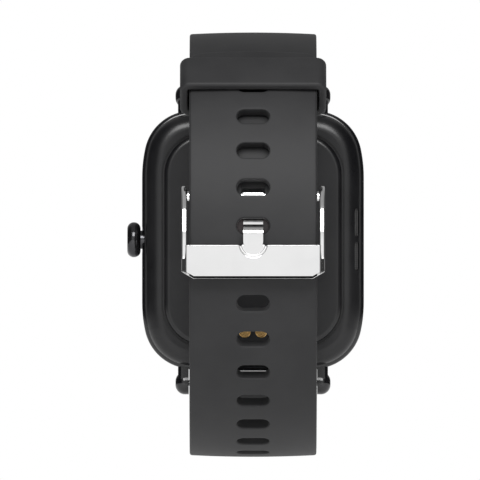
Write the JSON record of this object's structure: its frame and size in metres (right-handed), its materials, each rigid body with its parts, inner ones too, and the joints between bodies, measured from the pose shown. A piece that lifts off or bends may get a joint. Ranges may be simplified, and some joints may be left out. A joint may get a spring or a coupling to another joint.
{
  "type": "smartwatch",
  "caption": "Rectangular smartwatch with rounded corners, side crown, lugs and a pin-buckled silicone strap closed into a loop.",
  "frame": {"origin": "centre of the wrist opening, on the axis of the strap's rear arc", "axes": "+X out of the crown, +Z towards 12 o'clock, -Y out of the display"},
  "size_m": [0.0376, 0.0576, 0.067],
  "materials": {
    "case_black": "glossy black coated alloy",
    "cover_glass": "polished black-backed glass",
    "seal_rubber": "matt",
    "display": "dark panel",
    "back_plastic": "fine satin black",
    "inner_plastic": "moulded",
    "circuit_board": "solder mask",
    "steel_inner": "plain",
    "battery_foil": "pouch foil",
    "magnet": "nickel plated",
    "gold_contact": "gold plated",
    "sensor_glass": "dark tinted",
    "slot_mesh": "fine mesh",
    "crown_black": "glossy black",
    "strap_silicone": "soft-touch matt silicone",
    "buckle_steel": "polished stainless steel",
    "bar_steel": "plain stainless steel"
  },
  "bodies": {
    "case": {"mid_frame": "case_black", "cover_glass": "cover_glass", "glass_gasket": "seal_rubber", "display_panel": "display", "chassis": "inner_plastic", "main_board": "circuit_board", "shield_can": "steel_inner", "battery": "battery_foil", "vibration_motor": "steel_inner", "speaker": "inner_plastic", "speaker_mesh": "slot_mesh", "microphone_mesh": "slot_mesh", "board_screws": "steel_inner", "back_gasket": "seal_rubber", "back_cover": "back_plastic", "sensor_board": "circuit_board", "sensor_window": "sensor_glass", "charging_contacts": "gold_contact", "charging_magnets": "magnet", "crown_bushing": "steel_inner", "crown_switch": "inner_plastic"},
    "crown_slider": {"switch_plunger": "inner_plastic"},
    "crown": {"crown_knob": "crown_black", "crown_stem": "crown_black", "crown_o_rings": "seal_rubber", "crown_clip": "steel_inner"},
    "upper_band": {"upper_strap": "strap_silicone", "upper_bar_tube": "bar_steel", "upper_bar_fixed_tip": "bar_steel", "upper_bar_spring": "bar_steel"},
    "upper_release": {"upper_release_pin": "bar_steel"},
    "lower_band": {"lower_strap": "strap_silicone", "lower_bar_tube": "bar_steel", "lower_bar_fixed_tip": "bar_steel", "lower_bar_spring": "bar_steel"},
    "lower_release": {"lower_release_pin": "bar_steel"},
    "keeper": {"strap_keeper": "strap_silicone"},
    "buckle": {"buckle_frame": "buckle_steel", "buckle_pin": "buckle_steel"},
    "tongue": {"buckle_tongue": "buckle_steel"}
  },
  "joints": [
    {"name": "crown_press", "type": "slide", "parent": "case", "child": "crown_slider", "axis": [-1, 0, 0], "range_m": [0, 0.0003], "stiffness_N_per_m": 6000, "springref_m": -0.0002},
    {"name": "crown_turn", "type": "hinge", "parent": "crown_slider", "child": "crown", "pos_m": [0.0176, -0.0162, -0.0003], "axis": [1, 0, 0], "continuous": true},
    {"name": "upper_strap_pivot", "type": "hinge", "parent": "case", "child": "upper_band", "pos_m": [0, -0.015, 0.02245], "axis": [1, 0, 0], "range_deg": [-0.15, 0.4]},
    {"name": "lower_strap_pivot", "type": "hinge", "parent": "case", "child": "lower_band", "pos_m": [0, -0.015, -0.02305], "axis": [1, 0, 0], "range_deg": [-0.4, 0.15]},
    {"name": "keeper_slide", "type": "hinge", "parent": "upper_band", "child": "keeper", "pos_m": [0, 0, 0], "axis": [1, 0, 0], "range_deg": [-23, 33]},
    {"name": "buckle_lift", "type": "hinge", "parent": "upper_band", "child": "buckle", "pos_m": [0, 0.03062, 0.00651], "axis": [1, 0, 0], "range_deg": [0, 4]},
    {"name": "tongue_lift", "type": "hinge", "parent": "upper_band", "child": "tongue", "pos_m": [0, 0.03062, 0.00651], "axis": [1, 0, 0], "range_deg": [0, 4]},
    {"name": "upper_release_slide", "type": "slide", "parent": "upper_band", "child": "upper_release", "axis": [-1, 0, 0], "range_m": [0, 0.0012], "stiffness_N_per_m": 1200, "springref_m": -0.0006, "deforming": ["upper_bar_spring"]},
    {"name": "lower_release_slide", "type": "slide", "parent": "lower_band", "child": "lower_release", "axis": [-1, 0, 0], "range_m": [0, 0.0012], "stiffness_N_per_m": 1200, "springref_m": -0.0006, "deforming": ["lower_bar_spring"]}
  ],
  "couplings": [
    {"joint": "lower_strap_pivot", "follows": "upper_strap_pivot", "ratio": -1},
    {"joint": "tongue_lift", "follows": "buckle_lift", "ratio": 1}
  ]
}
